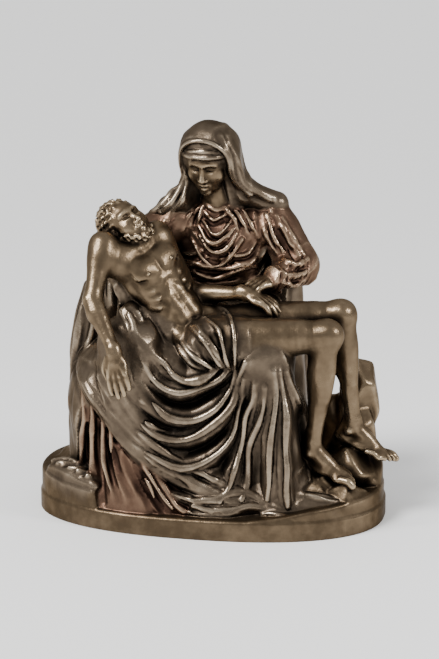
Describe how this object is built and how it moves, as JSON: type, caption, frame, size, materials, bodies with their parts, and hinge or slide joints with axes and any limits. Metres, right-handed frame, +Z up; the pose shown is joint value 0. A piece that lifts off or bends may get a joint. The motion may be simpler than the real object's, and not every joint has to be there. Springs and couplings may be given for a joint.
{
  "type": "pieta figurine",
  "caption": "Table-top pieta figure: a veiled, seated woman holds a dead man across her lap, on a low oval rocky plinth with a flat underside.",
  "frame": {"origin": "middle of the plinth's flat underside", "axes": "+Z up, +X towards the viewer's right along the plinth's long axis, the front faces -Y"},
  "size_m": [0.2351, 0.1571, 0.2522],
  "materials": {
    "bronze_resin": "antique bronze over cast resin: dark brown hollows, rubbed golden-brown high parts, a copper-red tint on the dress"
  },
  "bodies": {
    "root": {"pieta_group": "bronze_resin"}
  },
  "joints": []
}
